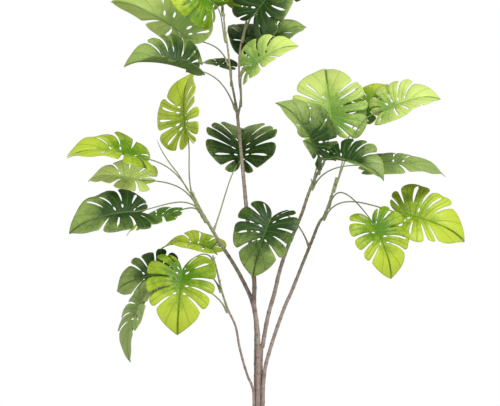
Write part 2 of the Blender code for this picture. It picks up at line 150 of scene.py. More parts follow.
def clay_material():
    """Orange fired clay: sandy, with turning lines, damp low down and bloomed with lime."""
    made, tree = new_material("terracotta")
    height = add_node(tree, "SeparateXYZ", {0: add_node(tree, "TexCoord").outputs["Object"]})
    height = height.outputs["Z"]
    clouds = grain(tree, 11.0, 5.0, 0.62)
    sand = grain(tree, 950.0, 3.0, 0.7)
    lines = grain(tree, 30.0, 5.0, 0.7, (0.5, 0.5, 14.0), 0.3)
    colour = blend(tree, remap(tree, clouds, 0.3, 0.7), (0.34, 0.115, 0.050), (0.52, 0.215, 0.105))
    colour = blend(tree, remap(tree, lines, 0.35, 0.75, 0.0, 0.5), colour, (0.42, 0.17, 0.09))
    damp = maths(tree, "ADD", height, remap(tree, grain(tree, 22.0), 0.2, 0.8, -0.02, 0.02))
    colour = blend(tree, remap(tree, damp, 0.012, 0.07, 0.55, 0.0), colour, (0.19, 0.075, 0.04))
    lime = maths(tree, "MULTIPLY", remap(tree, grain(tree, 26.0, 8.0, 0.72, warp=0.5), 0.50, 0.66),
                 remap(tree, height, 0.03, 0.15, 0.75, 0.25))
    colour = blend(tree, lime, colour, (0.60, 0.47, 0.38))
    worn = maths(tree, "MULTIPLY", stored(tree, "wear"), remap(tree, sand, 0.40, 0.62))
    colour = blend(tree, worn, colour, (0.66, 0.36, 0.22))
    colour = blend(tree, remap(tree, sand, 0.60, 0.72, 0.0, 0.35), colour, (0.22, 0.09, 0.05))
    roughness = remap(tree, clouds, 0.3, 0.7, 0.78, 0.95)
    relief = maths(tree, "ADD", maths(tree, "MULTIPLY", sand, 0.35),
                   maths(tree, "MULTIPLY", lines, 0.65))
    dress(tree, colour, roughness, relief, 0.0012, Specular_IOR_Level=0.3)
    return made


POT_OUTLINE = [  # radius, height, how worn; from the middle of the base, up, and down inside
    (0.0, 0.0, 0.0), (0.060, 0.0, 0.0), (0.083, 0.0002, 0.4), (0.0862, 0.0008, 1.0),
    (0.0880, 0.0035, 0.8), (0.1185, 0.1785, 0.0), (0.1192, 0.1800, 0.1), (0.1222, 0.1804, 0.5),
    (0.1238, 0.1818, 1.0), (0.1243, 0.1845, 0.5), (0.1250, 0.2150, 0.3), (0.1246, 0.2182, 1.0),
    (0.1224, 0.2198, 0.9), (0.1150, 0.2199, 0.7), (0.1125, 0.2190, 1.0), (0.1112, 0.2160, 0.5),
    (0.0828, 0.0170, 0.0), (0.0790, 0.0125, 0.0), (0.060, 0.0120, 0.0), (0.0, 0.0120, 0.0),
]
POT_SIDES = 144
DRAIN_RADIUS = 0.006
DRAIN_RING = 0.055  # how far the drain holes stand from the middle
DRAIN_SIDES = 40


def turned(shape, outline, sides, spacing, wobble):
    """Turns an outline round Z, with a ring at least every spacing, a little out of round."""
    wear = shape.verts.layers.float.new("wear")
    rings = []
    for near, far in zip(outline, outline[1:] + outline[-1:]):
        near, far = Vector(near), Vector(far)
        steps = max(1, math.ceil((far.xy - near.xy).length / spacing))
        for step in range(steps):
            radius, height, worn = near.lerp(far, step / steps)
            ring = []
            for i in range(sides):
                turn = 2 * math.pi * i / sides
                out = Vector((math.cos(turn), math.sin(turn), 0.0))
                uneven = wobble * noise.noise(Vector((out.x, out.y, 40 * height)) * 1.7)
                at = out * max(0.0004, radius + uneven * min(1.0, radius / 0.02))
                ring.append(shape.verts.new((at.x, at.y, height)))
                ring[-1][wear] = worn
            rings.append(ring)
    skin(shape, rings)


pot_shape = bmesh.new()
turned(pot_shape, POT_OUTLINE, POT_SIDES, 0.004, 0.0006)
bmesh.ops.recalc_face_normals(pot_shape, faces=pot_shape.faces)
clay = clay_material()
pot = piece("pot_body", pot_shape, [clay], ["pot"])

drills = bmesh.new()
for quarter in range(4):
    turn = math.pi * (2 * quarter + 1) / 4
    at = Vector((DRAIN_RING * math.cos(turn), DRAIN_RING * math.sin(turn), 0.006))
    bmesh.ops.create_cone(drills, cap_ends=True, segments=DRAIN_SIDES, radius1=DRAIN_RADIUS,
                          radius2=DRAIN_RADIUS, depth=0.04, matrix=Matrix.Translation(at))
drill_mesh = bpy.data.meshes.new("drills")
drills.to_mesh(drill_mesh)
drills.free()
drill = bpy.data.objects.new("drills", drill_mesh)
bpy.context.scene.collection.objects.link(drill)
cut = pot.modifiers.new("drain_holes", "BOOLEAN")
cut.operation = "DIFFERENCE"
cut.solver = "EXACT"
cut.object = drill
bpy.context.view_layer.update()
drilled = bpy.data.meshes.new_from_object(pot.evaluated_get(bpy.context.evaluated_depsgraph_get()))
pot.modifiers.clear()
pot.data = drilled
bpy.data.objects.remove(drill)


# ---- The soil ----
# Dark peat and bark mix, pressed in round the canes to 2.5 cm below the rim. Crumbs, chips of
# bark and white grains of perlite lie loose on it.

SOIL_FILL = [  # radius and height, from the middle of the pot's floor up to the middle of the top
    (0.0, 0.0125), (0.0780, 0.0128), (0.0820, 0.0180), (0.1074, 0.1920), (0.1060, 0.1945),
    (0.0980, 0.1950), (0.0550, 0.1975), (0.0, 0.1990),
]
SOIL_SIDES = 120


def soil_material(name, dark, brown, fleck):
    """Damp crumbly matter, painted darker in its pits with painted shade."""
    made, tree = new_material(name)
    clods = grain(tree, 170.0, 6.0, 0.7)
    dust = grain(tree, 1400.0, 3.0, 0.7)
    # Painted shade: the clods noise mottles the peat and also sinks the bump, so the peat is painted darker
    # in its pits.
    colour = blend(tree, remap(tree, clods, 0.35, 0.68), dark, brown)
    colour = blend(tree, remap(tree, dust, 0.62, 0.74, 0.0, 0.8), colour, fleck)
    colour = blend(tree, remap(tree, grain(tree, 40.0), 0.4, 0.7, 0.0, 0.5), colour, dark)
    relief = maths(tree, "ADD", maths(tree, "MULTIPLY", clods, 0.7),
                   maths(tree, "MULTIPLY", dust, 0.3))
    dress(tree, colour, remap(tree, clods, 0.3, 0.7, 0.98, 0.8), relief, 0.004,
          Specular_IOR_Level=0.25)
    return made


def lump(shape, at, size, flatness, chance):
    """A rough broken lump."""
    turn = Matrix.Rotation(chance.uniform(0, 6.3), 4, "Z") @ Matrix.Rotation(
        chance.uniform(-0.5, 0.5), 4, "X")
    stretch = Matrix.Diagonal((chance.uniform(0.7, 1.5), 1.0, flatness, 1.0))
    made = bmesh.ops.create_icosphere(shape, subdivisions=2, radius=size,
                                      matrix=Matrix.Translation(at) @ turn @ stretch)
    seed = Vector([chance.uniform(0, 50) for _ in range(3)])
    for vertex in made["verts"]:
        out = (vertex.co - at) / size
        vertex.co = at + (vertex.co - at) * (1 + 0.7 * noise.noise(out * 1.6 + seed))


SCATTER_REACH = 0.101  # from the pot's middle, so that nothing meets its wall
SOIL_TOP, SOIL_SLOPE = 0.1985, 0.03


def scatter(name, count, sizes, flatness, material, seed):
    """Lumps lying on the soil, clear of the pot's wall."""
    chance = random.Random(seed)
    shape = bmesh.new()
    for _ in range(count):
        turn, out = chance.uniform(0, 2 * math.pi), SCATTER_REACH * math.sqrt(chance.random())
        size = chance.uniform(*sizes)
        at = Vector((out * math.cos(turn), out * math.sin(turn), SOIL_TOP - SOIL_SLOPE * out))
        lump(shape, at, size, flatness, chance)
    piece(name, shape, [material])


soil_shape = bmesh.new()
turned(soil_shape, [(radius, height, 0.0) for radius, height in SOIL_FILL], SOIL_SIDES, 0.0025, 0.0)
bmesh.ops.recalc_face_normals(soil_shape, faces=soil_shape.faces)
for vertex in soil_shape.verts:
    if vertex.co.z > 0.19:
        vertex.co.z += 0.0022 * noise.fractal(vertex.co * 90, 0.7, 2.1, 4)
peat = soil_material("peat", (0.012, 0.008, 0.005), (0.055, 0.034, 0.020), (0.16, 0.11, 0.07))
piece("soil_bed", soil_shape, [peat], ["soil"])
scatter("soil_crumbs", 260, (0.0010, 0.0030), 0.7, peat, "crumbs")
chips = soil_material("bark_chips", (0.045, 0.022, 0.012), (0.16, 0.08, 0.04), (0.24, 0.15, 0.09))
scatter("soil_bark_chips", 60, (0.0030, 0.0060), 0.3, chips, "chips")
perlite = soil_material("perlite", (0.42, 0.40, 0.37), (0.72, 0.70, 0.66), (0.85, 0.84, 0.80))
scatter("soil_perlite", 70, (0.0008, 0.0018), 0.9, perlite, "perlite")


# ---- The canes ----
# Five woody stems from one clump, rooted in the soil. Their bark is grey-brown and ringed where
# old leaves fell, it greens towards the young tips, and dry stubs of leaf bases stand there.

CANES = {  # x, y, z and radius at each bend, from below the soil to the tip
    "main_cane": [
        (0.0, 0.0, 0.135, 0.0068), (0.0, 0.0, 0.335, 0.0065), (0.0, 0.0, 0.485, 0.006),
        (-0.010, 0.0, 0.575, 0.0058), (-0.010, 0.004, 0.64, 0.0055), (-0.0275, 0.018, 0.80, 0.005),
        (-0.0375, 0.016, 0.905, 0.0045), (-0.0475, 0.012, 1.005, 0.004),
        (-0.052, 0.006, 1.05, 0.0038), (-0.0575, 0.004, 1.085, 0.003),
        (-0.0675, 0.002, 1.14, 0.0027), (-0.075, 0.0, 1.21, 0.0024), (-0.0825, 0.0, 1.26, 0.0022),
        (-0.088, 0.0, 1.325, 0.0018),
    ],
    "main_branch": [
        (-0.051, 0.0055, 1.04, 0.003), (-0.0425, 0.006, 1.09, 0.0028), (-0.047, 0.008, 1.14, 0.0026),
        (-0.045, 0.010, 1.21, 0.0024), (-0.03, 0.012, 1.28, 0.0022), (-0.018, 0.014, 1.32, 0.0018),
    ],
    "left_cane": [
        (-0.005, 0.0125, 0.135, 0.0055), (-0.005, 0.0125, 0.40, 0.0053),
        (-0.005, 0.0135, 0.52, 0.005), (-0.0145, 0.014, 0.58, 0.005),
        (-0.0375, 0.010, 0.6325, 0.0048), (-0.0625, 0.002, 0.6775, 0.0045),
        (-0.085, -0.004, 0.7125, 0.0043), (-0.105, -0.010, 0.745, 0.004),
        (-0.1275, -0.016, 0.7825, 0.0038), (-0.1475, -0.022, 0.8175, 0.0035),
        (-0.165, -0.028, 0.855, 0.0028),
    ],
    "far_left_cane": [
        (-0.0105, -0.0035, 0.135, 0.0034), (-0.0105, -0.0035, 0.33, 0.0033),
        (-0.015, -0.006, 0.37, 0.0032), (-0.0275, -0.012, 0.40, 0.003),
        (-0.045, -0.022, 0.4625, 0.0029), (-0.056, -0.030, 0.52, 0.0028),
        (-0.075, -0.036, 0.5625, 0.0027), (-0.09, -0.040, 0.6075, 0.0025),
        (-0.1025, -0.044, 0.66, 0.0023), (-0.1125, -0.046, 0.6975, 0.002),
    ],
    "right_inner_cane": [
        (0.007, 0.0125, 0.135, 0.0055), (0.007, 0.0125, 0.43, 0.0053),
        (0.0125, 0.0125, 0.475, 0.0052), (0.025, 0.013, 0.545, 0.005), (0.04, 0.013, 0.5975, 0.005),
        (0.055, 0.012, 0.66, 0.0047), (0.0725, 0.004, 0.7125, 0.0045), (0.0925, -0.001, 0.76, 0.0043),
        (0.11, -0.003, 0.8025, 0.004), (0.125, -0.004, 0.8475, 0.0038),
        (0.1425, -0.009, 0.89, 0.0035), (0.165, -0.014, 0.93, 0.003), (0.17, -0.014, 0.965, 0.0026),
    ],
    "right_outer_cane": [
        (0.0125, -0.001, 0.135, 0.005), (0.0125, -0.001, 0.34, 0.0048),
        (0.0145, -0.001, 0.385, 0.0047), (0.02, 0.0, 0.425, 0.0046), (0.04, 0.010, 0.4925, 0.0045),
        (0.065, 0.022, 0.5625, 0.0044), (0.085, 0.030, 0.6075, 0.0043), (0.11, 0.038, 0.67, 0.004),
        (0.1325, 0.044, 0.725, 0.0038), (0.1525, 0.048, 0.775, 0.0036),
        (0.1675, 0.050, 0.7975, 0.0034), (0.1825, 0.052, 0.8375, 0.0032),
        (0.1975, 0.054, 0.8925, 0.0026),
    ],
}
CANE_STEP = 0.0022  # between the rings of a cane's mesh
CANE_SIDES, STUB_SIDES = 20, 8
SCAR_GAP, TIP_SCAR_GAP = 0.038, 0.012  # between ring scars at the foot and at the tip
STUBS_FROM, BARE_SHARE = 0.84, 0.5  # where stubs begin, and how many scars there have none


def smooth(bends, steps):
    """(point, radius) pairs on a Catmull-Rom curve through the bends."""
    knots = [Vector(bend) for bend in bends]
    ends = [2 * knots[0] - knots[1], *knots, 2 * knots[-1] - knots[-2]]
    found = []
    for before, start, end, after in zip(ends, ends[1:], ends[2:], ends[3:]):
        for t in (step / steps for step in range(steps)):
            found.append(0.5 * (2 * start + (end - before) * t
                                + (2 * before - 5 * start + 4 * end - after) * t**2
                                + (3 * start - before - 3 * end + after) * t**3))
    found.append(knots[-1])
    return [(point.xyz, point.w) for point in found]


def spaced(route, gap):
    """The same route read at even steps, as (point, radius, length so far)."""
    lengths = [0.0]
    for (near, _), (far, _) in zip(route, route[1:]):
        lengths.append(lengths[-1] + (far - near).length)
    found, index = [], 0
    count = max(2, round(lengths[-1] / gap))
    for i in range(count + 1):
        run = lengths[-1] * i / count
        while index < len(route) - 2 and lengths[index + 1] < run:
            index += 1
        share = (run - lengths[index]) / (lengths[index + 1] - lengths[index])
        (near, thick), (far, thin) = route[index], route[index + 1]
        found.append((near.lerp(far, share), thick + (thin - thick) * share, run))
    return found


def tube(shape, steps, sides, swell=None):
    """A solid tube along (point, radius, run) steps, which stores how far along each ring is
    (0..1). swell(point, turn, run) scales its radius."""
    layer = shape.verts.layers.float.get("along") or shape.verts.layers.float.new("along")
    side, rings = Vector((0.8, -0.6, 0.0)), []
    for i, (point, radius, run) in enumerate(steps):
        ahead = steps[min(i + 1, len(steps) - 1)][0] - steps[max(i - 1, 0)][0]
        ahead.normalize()
        side = (side - side.dot(ahead) * ahead).normalized()
        other = ahead.cross(side)
        ring = []
        for j in range(sides):
            turn = 2 * math.pi * j / sides
            reach = radius * (swell(point, turn, run) if swell else 1.0)
            ring.append(shape.verts.new(point + reach * (math.cos(turn) * side
                                                         + math.sin(turn) * other)))
            ring[-1][layer] = i / (len(steps) - 1)
        rings.append(ring)
    skin(shape, rings)


def bark_material():
    """Grey-brown bark: fibres along the cane, dark ring scars, green showing through up high."""
    made, tree = new_material("cane_bark")
    fibres = grain(tree, 520.0, 5.0, 0.7, (1.0, 1.0, 0.09), 0.4)
    patches = grain(tree, 55.0, 5.0, 0.65)
    flecks = grain(tree, 800.0, 3.0, 0.7)
    colour = blend(tree, remap(tree, fibres, 0.3, 0.7), (0.190, 0.138, 0.118), (0.390, 0.298, 0.255))
    colour = blend(tree, remap(tree, patches, 0.50, 0.70, 0.0, 0.7), colour, (0.40, 0.36, 0.30))
    colour = blend(tree, remap(tree, patches, 0.28, 0.45, 0.6, 0.0), colour, (0.12, 0.095, 0.07))
    young = maths(tree, "ADD", stored(tree, "along"), remap(tree, patches, 0.3, 0.7, -0.12, 0.12))
    colour = blend(tree, remap(tree, young, 0.62, 0.95, 0.0, 0.85), colour, (0.24, 0.28, 0.12))
    colour = blend(tree, maths(tree, "MULTIPLY", stored(tree, "scar"), 0.5), colour,
                   (0.105, 0.080, 0.058))
    colour = blend(tree, remap(tree, flecks, 0.64, 0.74, 0.0, 0.5), colour, (0.50, 0.44, 0.36))
    relief = maths(tree, "ADD", maths(tree, "MULTIPLY", fibres, 0.7),
                   maths(tree, "MULTIPLY", flecks, 0.3))
    dress(tree, colour, remap(tree, patches, 0.3, 0.7, 0.62, 0.88), relief, 0.0012,
          Specular_IOR_Level=0.35)
    return made


def cane(shape, name):
    """One cane with its ring scars and stubs; the scars get closer towards the tip."""
    chance = random.Random(name)
    steps = spaced(smooth(CANES[name], 10), CANE_STEP)
    whole = steps[-1][2]
    scars, run = [], chance.uniform(0.004, 0.02)
    while run < whole:
        scars.append(run)
        run += chance.uniform(0.8, 1.25) * (SCAR_GAP - (SCAR_GAP - TIP_SCAR_GAP) * run / whole)

    def swell(point, turn, run):
        near = min((abs(run - scar - 0.0012 * math.cos(turn + scar * 90)) for scar in scars))
        ring = 0.13 * math.exp(-((near / 0.0026) ** 2)) - 0.07 * math.exp(-((near / 0.0011) ** 2))
        lumps = 0.09 * noise.noise(Vector((math.cos(turn), math.sin(turn), run * 55)) * 1.1)
        return 1.0 + ring + lumps

    first = len(shape.verts)
    tube(shape, steps, CANE_SIDES, swell)
    shape.verts.ensure_lookup_table()
    scar_layer = shape.verts.layers.float["scar"]
    for i, (_, _, run) in enumerate(steps):
        near = min(abs(run - scar) for scar in scars)
        for vertex in shape.verts[first + CANE_SIDES * i:first + CANE_SIDES * (i + 1)]:
            vertex[scar_layer] = math.exp(-((near / 0.0016) ** 2))
    for scar in scars:
        if scar < STUBS_FROM * whole or chance.random() < BARE_SHARE:
            continue
        point, radius, _ = min(steps, key=lambda step: abs(step[2] - scar))
        turn, lean = chance.uniform(0, 2 * math.pi), chance.uniform(0.1, 0.3)
        out = Vector((math.cos(turn), math.sin(turn), 0.0))
        length = chance.uniform(0.006, 0.012)
        route = [(point + out * radius * 0.4, radius * 0.55),
                 (point + out * (radius + length * lean * 0.4) + Vector((0, 0, length * 0.6)),
                  radius * 0.34),
                 (point + out * (radius + length * lean) + Vector((0, 0, length)), radius * 0.16)]
        tube(shape, spaced(smooth([(*p, r) for p, r in route], 4), 0.0012), STUB_SIDES)


bark = bark_material()
for name in CANES:
    if name == "main_branch":
        continue
    cane_shape = bmesh.new()
    cane_shape.verts.layers.float.new("along")
    cane_shape.verts.layers.float.new("scar")
    cane(cane_shape, name)
    if name == "main_cane":
        cane(cane_shape, "main_branch")
    bmesh.ops.recalc_face_normals(cane_shape, faces=cane_shape.faces)
    piece(name + "_stem", cane_shape, [bark], [name])


# ---- The leaf stalks ----
# Each leaf hangs on a thin round stalk. It clasps the cane with a widened base, arcs up and out,
# thickens at a small joint under the blade, and runs on below the blade as its midrib.

# Each leaf: the height where its stalk leaves the cane, where the stalk meets the blade, the blade's tip,
# the way its face looks, how far its halves fold up, slits to a half, its colour and how light it is, from
# 0 to about 1. That lightness is partly the leaf's own tone and partly painted light and shade for how lit
# the leaf stands.
LEAVES = {
    "main_cane": [
        (1.175, (-0.18, 0.085, 1.245), (-0.365, 0.125, 1.345), (-0.2, 0.6, 0.75), 0.7, 5, "pale", 0.65),
        (1.065, (-0.18, -0.10, 1.16), (-0.33, -0.13, 1.172), (0.0, -0.42, 0.9), 0.9, 6, "dark", 0.3),
        (1.235, (-0.12, -0.05, 1.33), (-0.24, -0.07, 1.42), (-0.3, -0.75, 0.5), 0.5, 5, "bright", 0.45),
        (1.125, (-0.08, 0.07, 1.17), (-0.15, 0.10, 1.18), (0.0, -0.25, 0.95), 0.5, 3, "dark", 0.3),
        (1.30, (-0.095, 0.013, 1.36), (-0.145, 0.053, 1.495), (-0.3, -0.8, 0.4), 0.45, 4, "bright", 0.6),
    ],
    "main_branch": [
        (1.075, (-0.015, -0.115, 1.165), (0.095, -0.145, 1.22), (-0.3, -0.6, 0.7), 0.55, 4, "pale", 0.55),
        (1.15, (0.01, 0.008, 1.23), (0.12, 0.03, 1.275), (0.1, -0.5, 0.85), 0.45, 5, "dark", 0.3),
        (1.195, (-0.02, 0.09, 1.22), (-0.055, 0.16, 1.285), (0.2, -0.6, 0.7), 0.6, 3, "dark", 0.1),
        (1.235, (-0.005, -0.04, 1.30), (0.105, -0.065, 1.42), (-0.3, -0.85, 0.4), 0.45, 5, "dark", 0.2),
        (1.27, (0.055, 0.03, 1.37), (0.155, 0.08, 1.455), (0.1, -0.7, 0.6), 0.5, 4, "dark", 0.4),
        (1.305, (-0.02, 0.08, 1.355), (-0.04, 0.13, 1.485), (0.1, -0.8, 0.4), 0.5, 4, "bright", 0.45),
    ],
    "left_cane": [
        (0.725, (-0.125, 0.04, 0.713), (-0.245, 0.08, 0.718), (0.0, -0.3, 0.95), 0.55, 4, "bright", 0.75),
        (0.76, (-0.0425, 0.05, 0.935), (-0.0375, 0.19, 1.025), (0.0, -0.5, 0.87), 0.85, 5, "dark", 0.3),
        (0.785, (-0.305, -0.15, 0.805), (-0.465, -0.19, 0.76), (-0.2, -0.6, 0.75), 0.45, 5, "dark", 0.25),
        (0.795, (-0.23, 0.04, 0.797), (-0.335, 0.08, 0.75), (-0.4, -0.2, 0.9), 0.3, 4, "bright", 0.2),
        (0.81, (-0.30, 0.06, 0.885), (-0.43, 0.10, 0.89), (0.0, -0.5, 0.85), 0.5, 4, "pale", 1.2),
        (0.82, (-0.305, -0.10, 0.94), (-0.47, -0.14, 0.95), (0.05, -0.4, 0.9), 0.5, 4, "bright", 0.6),
        (0.845, (-0.18, 0.0, 1.01), (-0.17, 0.05, 1.16), (-0.8, -0.55, 0.3), 0.6, 6, "bright", 0.95),
    ],
    "far_left_cane": [
        (0.56, (-0.275, -0.06, 0.5925), (-0.325, -0.08, 0.435), (-0.95, -0.3, 0.1), 0.5, 5, "dark", 1.0),
        (0.61, (-0.235, 0.062, 0.65), (-0.36, 0.095, 0.61), (-0.1, -0.75, 0.65), 0.5, 5, "dark", 0.3),
        (0.68, (-0.1875, -0.13, 0.66), (-0.20, -0.17, 0.505), (-0.05, -0.95, 0.25), 0.4, 5, "bright", 0.55),
    ],
    "right_inner_cane": [
        (0.865, (0.30, -0.02, 0.92), (0.47, 0.0, 0.905), (0.1, -0.28, 0.95), 0.35, 4, "dark", 0.75),
        (0.885, (0.145, -0.085, 0.96), (0.05, -0.105, 1.08), (0.65, -0.6, 0.5), 0.7, 4, "dark", 0.4),
        (0.905, (0.195, -0.135, 0.935), (0.31, -0.18, 0.89), (0.4, -0.55, 0.7), 0.8, 5, "dark", 0.2),
        (0.94, (0.185, 0.07, 1.03), (0.17, 0.17, 1.175), (-0.05, -0.8, 0.6), 0.45, 6, "pale", 0.6),
    ],
    "right_outer_cane": [
        (0.72, (0.03, -0.055, 0.785), (-0.015, -0.075, 0.645), (-0.25, -0.9, 0.2), 0.42, 5, "dark", 0.25),
        (0.79, (0.3625, -0.02, 0.80), (0.5175, -0.03, 0.7375), (0.1, -0.75, 0.65), 0.5, 6, "bright", 0.8),
        (0.82, (0.287, -0.12, 0.775), (0.332, -0.135, 0.642), (0.4, -0.88, 0.2), 0.42, 5, "bright", 0.6),
        (0.86, (0.2725, 0.13, 1.055), (0.325, 0.19, 1.135), (-0.4, -0.6, 0.6), 0.6, 5, "bright", 0.3),
        (0.88, (0.32, 0.0, 1.06), (0.455, 0.0, 1.095), (0.0, -0.6, 0.8), 0.6, 5, "pale", 0.8),
    ],
}
STALK_RADIUS, NECK_RADIUS, RIB_TIP_RADIUS = 0.0019, 0.0014, 0.00045
STALK_REACH = 0.4  # the pull of the arc's ends, as a share of the stalk's span
STALK_LEAN, STALK_SWING = 0.5, 0.7  # how far outward it leaves the cane and meets the blade
MIDRIB_LENGTH = 0.85  # as a share of the blade's
MIDRIB_DROP = 0.0009  # below the blade's middle
STALK_SIDES, ARC_STEPS, MIDRIB_STEPS = 12, 30, 18
ARCH, CUP = 0.07, 0.35  # the blade's rise along the midrib, and how its halves curl back down


def blade_height(x, y, fold):
    """How far a blade of length 1 stands off the flat at (x, y)."""
    return ARCH * 4 * y * (1 - y) + fold * abs(x) - CUP * x * x


def facing(base, tip, face):
    """The matrix that lays a blade from base to tip, with its upper side towards face."""
    along = (tip - base).normalized()
    up = (face - face.dot(along) * along).normalized()
    across = along.cross(up)
    return Matrix.Translation(base) @ Matrix((across, along, up)).transposed().to_4x4()


def stalk(shape, cane_route, height, place, length):
    """One stalk from inside the cane to the blade, then on as the midrib below it."""
    middle, radius = next(step[:2] for step in cane_route if step[0].z >= height)
    base, along = place.translation, place.col[1].xyz
    outward = Vector((base.x - middle.x, base.y - middle.y, 0.0)).normalized()
    start = middle + outward * (radius + STALK_RADIUS)
    reach = (base - start).length * STALK_REACH
    leave = (outward * STALK_LEAN + Vector((0, 0, 1))).normalized()
    arrive = (outward * STALK_SWING + along).normalized()
    arc = interpolate_bezier(start, start + leave * reach, base - arrive * reach, base, ARC_STEPS)
    route = [(middle + outward * radius * 0.3 - Vector((0, 0, 0.006)), STALK_RADIUS)]
    route += [(point, STALK_RADIUS + (NECK_RADIUS - STALK_RADIUS) * i / (ARC_STEPS - 1))
              for i, point in enumerate(arc)]
    neck = len(route) - 1
    for i in range(1, MIDRIB_STEPS + 1):
        y = MIDRIB_LENGTH * i / MIDRIB_STEPS
        local = Vector((0.0, y, blade_height(0.0, y, 0.0))) * length
        local.z -= MIDRIB_DROP
        radius = NECK_RADIUS + (RIB_TIP_RADIUS - NECK_RADIUS) * i / MIDRIB_STEPS
        route.append((place @ local, radius))
    steps = spaced(route, 0.003)
    joint = min(steps, key=lambda step: (step[0] - route[neck][0]).length)[2]

    def swell(point, turn, run):
        clasp = 1.2 * math.exp(-((run / 0.018) ** 2))
        knee = 0.4 * math.exp(-(((joint - 0.007 - run) / 0.006) ** 2))
        ribs = 0.04 * math.cos(5 * turn)
        return 1.0 + clasp + knee + ribs

    tube(shape, steps, STALK_SIDES, swell)


def stalk_material():
    """Smooth green skin over a woody core: browner at the cane, with fine pale streaks."""
    made, tree = new_material("stalk_skin")
    streaks = grain(tree, 420.0, 4.0, 0.65, (1.0, 1.0, 0.2))
    patches = grain(tree, 38.0, 4.0, 0.6)
    along = maths(tree, "ADD", stored(tree, "along"), remap(tree, patches, 0.3, 0.7, -0.15, 0.15))
    colour = blend(tree, remap(tree, along, 0.02, 0.55), (0.230, 0.240, 0.110), (0.150, 0.195, 0.065))
    colour = blend(tree, remap(tree, streaks, 0.45, 0.72, 0.0, 0.6), colour, (0.30, 0.34, 0.14))
    colour = blend(tree, remap(tree, patches, 0.55, 0.72, 0.0, 0.5), colour, (0.15, 0.11, 0.065))
    dress(tree, colour, remap(tree, patches, 0.3, 0.7, 0.42, 0.65), streaks, 0.0005)
    return made


stalk_skin = stalk_material()
for name, rows in LEAVES.items():
    cane_route = smooth(CANES[name], 40)
    stalks_shape = bmesh.new()
    for height, base, tip, face, *_ in rows:
        base, tip = Vector(base), Vector(tip)
        stalk(stalks_shape, cane_route, height, facing(base, tip, Vector(face)),
              (tip - base).length)
    bmesh.ops.recalc_face_normals(stalks_shape, faces=stalks_shape.faces)
    nodes = [f"{name}_leaf_{number}" for number in range(1, len(rows) + 1)]
    piece(name + "_leaf_stalks", stalks_shape, [stalk_skin], nodes)


# ---- The leaf blades ----
# Thin leathery heart shapes, slit between the side veins from the edge towards the midrib, with
# small oval holes beside it. They are glossy above, dull and paler below.

BLADE_THICKNESS = 0.0008
BLADE_OUTLINE = (  # one half as two Bezier curves that meet at the widest point, for length 1
    (Vector((0.015, -0.02)), Vector((0.05, -0.36)), Vector((0.50, -0.40)), Vector((0.54, 0.06))),
    (Vector((0.54, 0.06)), Vector((0.58, 0.50)), Vector((0.30, 0.84)), Vector((0.0, 1.0))),
)
OUTLINE_SPLIT = 0.42  # where along the outline they meet
VEIN_ROOTS, VEIN_SWEEP = 0.55, 0.16  # the last side vein's start, and how far the veins bow
FIRST_SLIT, LAST_SLIT = 0.20, 0.72  # along the outline
VEIN_SHIFT, START_SHIFT = 0.15, 0.07  # how unevenly the slits stand and begin
SLIT_START, SLIT_WIDTH = 0.32, 0.024
CLOSED_SLITS = 0.35  # the share of slits that stop short of the edge
CLOSED_ENDS = (0.72, 0.88)
OPEN_END = 2.0  # beyond the edge
HOLE_WIDTH, HOLE_LENGTH, WITH_HOLE = 0.014, 0.06, 0.5
HOLE_PLACES = (0.16, 0.22)
LOBE_DROOP, LOBE_ROUNDING = 0.15, 0.07
DROOP_RANGE = (0.4, 1.6)  # how unevenly the lobes droop
QUILTING, EDGE_WAVE = 0.009, 0.012  # how far it swells between veins and waves at the edge
COLUMNS, INNER_ROWS, OUTER_ROWS = 8, 14, 14  # of one lobe's grid


def outline_point(u):
    """A point on the blade's edge, from the notch behind the stalk (0) to the tip (1)."""
    lower, upper = BLADE_OUTLINE
    if u < OUTLINE_SPLIT:
        curve, t = lower, u / OUTLINE_SPLIT
    else:
        curve, t = upper, (u - OUTLINE_SPLIT) / (1 - OUTLINE_SPLIT)
    a, b, c, d = curve
    s = 1 - t
    return s**3 * a + 3 * s * s * t * b + 3 * s * t * t * c + t**3 * d


def flat_point(root, edge, r):
    """A point of the flat right half, a share r of the way out along a side vein."""
    point = Vector((0.0, VEIN_ROOTS * root**1.5)).lerp(outline_point(edge), r)
    point.y -= VEIN_SWEEP * math.sin(math.pi * edge) * r * (1 - r)
    return point


def slit_gap(opened, end):
    """Half a slit's width: round at its inner end, narrower again towards the edge."""
    if not 0.0 < opened < end:
        return 0.0
    begin = min(1.0, opened * 5) ** 0.5
    finish = min(1.0, (end - opened) * 7) ** 0.5
    return SLIT_WIDTH / 2 * begin * finish * (1.0 + 0.5 * max(0.0, opened - 0.8) * 5)


def hole_gap(r, middle):
    """Half the width of the small oval hole beside the midrib, if there is one."""
    if middle is None or abs(r - middle) >= HOLE_LENGTH:
        return 0.0
    return HOLE_WIDTH / 2 * math.sqrt(1 - ((r - middle) / HOLE_LENGTH) ** 2) / max(r, 0.05)


def slit_places(slits, chance):
    """(root, edge, start) for each slit of one half, and for the half's two ends."""
    gap = (LAST_SLIT - FIRST_SLIT) / (slits - 1)
    places = [(0.0, 0.0, SLIT_START)]
    for i in range(slits):
        root = FIRST_SLIT + gap * i
        edge = root + chance.uniform(-VEIN_SHIFT, VEIN_SHIFT) * gap
        places.append((root, edge, SLIT_START + chance.uniform(-START_SHIFT, START_SHIFT)))
    return [*places, (1.0, 1.0, SLIT_START)]


